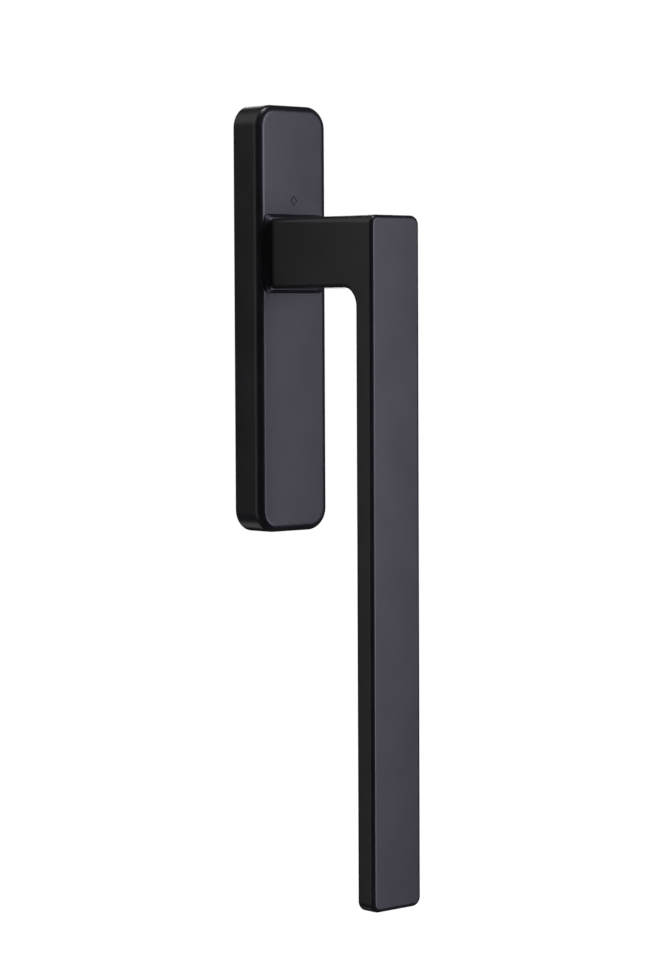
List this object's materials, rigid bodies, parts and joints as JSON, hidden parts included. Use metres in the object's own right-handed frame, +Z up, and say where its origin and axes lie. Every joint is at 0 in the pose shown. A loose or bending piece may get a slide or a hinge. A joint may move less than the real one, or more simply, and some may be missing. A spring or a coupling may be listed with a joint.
{
  "type": "lift-and-slide patio door handle",
  "caption": "Black flat-bar lever handle on a long rounded cover plate, for a lift-and-slide door; the lever makes a half turn.",
  "frame": {"origin": "spindle axis in the plane of the door face, midway between the two fixing screws", "axes": "+X right as seen from the room, +Y into the door along the spindle, +Z up; the handle faces -Y and the lever hangs down at rest"},
  "size_m": [0.039, 0.0955, 0.3335],
  "materials": {
    "black_coat": "satin black powder coat on aluminium",
    "alloy_casting": "die-cast aluminium, matt",
    "bush_plastic": "moulded",
    "zinc_plated": "bright zinc plate",
    "spring_steel": "oiled spring steel",
    "rubber": "matt"
  },
  "bodies": {
    "base": {"base_plate": "alloy_casting", "cover_plate": "black_coat", "bearing_bush": "bush_plastic", "screw_upper": "zinc_plated", "screw_lower": "zinc_plated", "clip_upper_left": "spring_steel", "clip_upper_right": "spring_steel", "clip_lower_left": "spring_steel", "clip_lower_right": "spring_steel", "end_buffer_upper": "rubber", "end_buffer_lower": "rubber"},
    "lever": {"lever": "black_coat", "neck_collar": "black_coat", "drive_hub": "zinc_plated", "spindle": "zinc_plated", "lock_pin": "spring_steel", "set_screw": "spring_steel", "stop_washer": "spring_steel", "spring_washer": "spring_steel", "retaining_ring": "spring_steel"}
  },
  "joints": [
    {"name": "lever_turn", "type": "hinge", "parent": "base", "child": "lever", "pos_m": [0, 0, 0], "axis": [0, 1, 0], "range_deg": [0, 180]}
  ]
}
